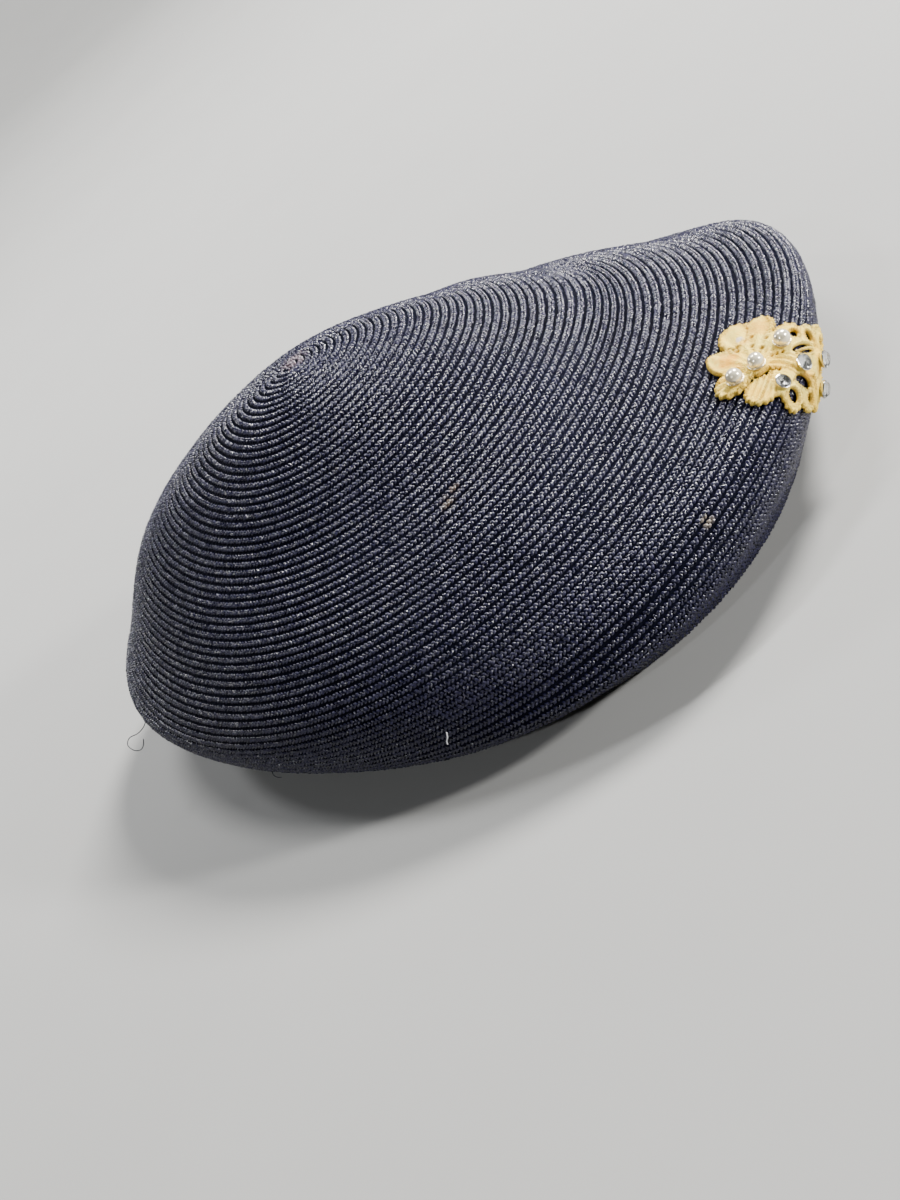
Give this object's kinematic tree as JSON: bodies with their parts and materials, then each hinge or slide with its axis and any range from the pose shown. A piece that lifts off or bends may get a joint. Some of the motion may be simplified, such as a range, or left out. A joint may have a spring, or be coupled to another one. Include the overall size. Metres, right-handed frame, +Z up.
{
  "type": "cloche hat",
  "caption": "Egg-shaped straw cloche of sewn braid rows, with a flared front brim, a rim turned under and a pierced lace motif set with pearls and crystals on the front edge.",
  "frame": {"origin": "middle of the hat's footprint, on the surface that the rim stands on", "axes": "+X towards the front of the brim, +Y towards the wearer's left, +Z up through the crown"},
  "size_m": [0.2333, 0.1908, 0.0795],
  "materials": {
    "straw": "navy glossy straw braid, plaited and sewn in rows",
    "lace": "yellowed cream cotton lace, matt",
    "pearl": "pearl lustre",
    "crystal": "clear cut stone, foil backed"
  },
  "bodies": {
    "root": {"braid_crown": "straw", "lace_motif": "lace", "pearl_heart": "pearl", "pearl_near_petal": "pearl", "pearl_far_loop": "pearl", "crystal_near_seat": "crystal", "crystal_bar": "crystal", "crystal_front_far": "crystal", "crystal_front_near": "crystal"}
  },
  "joints": []
}
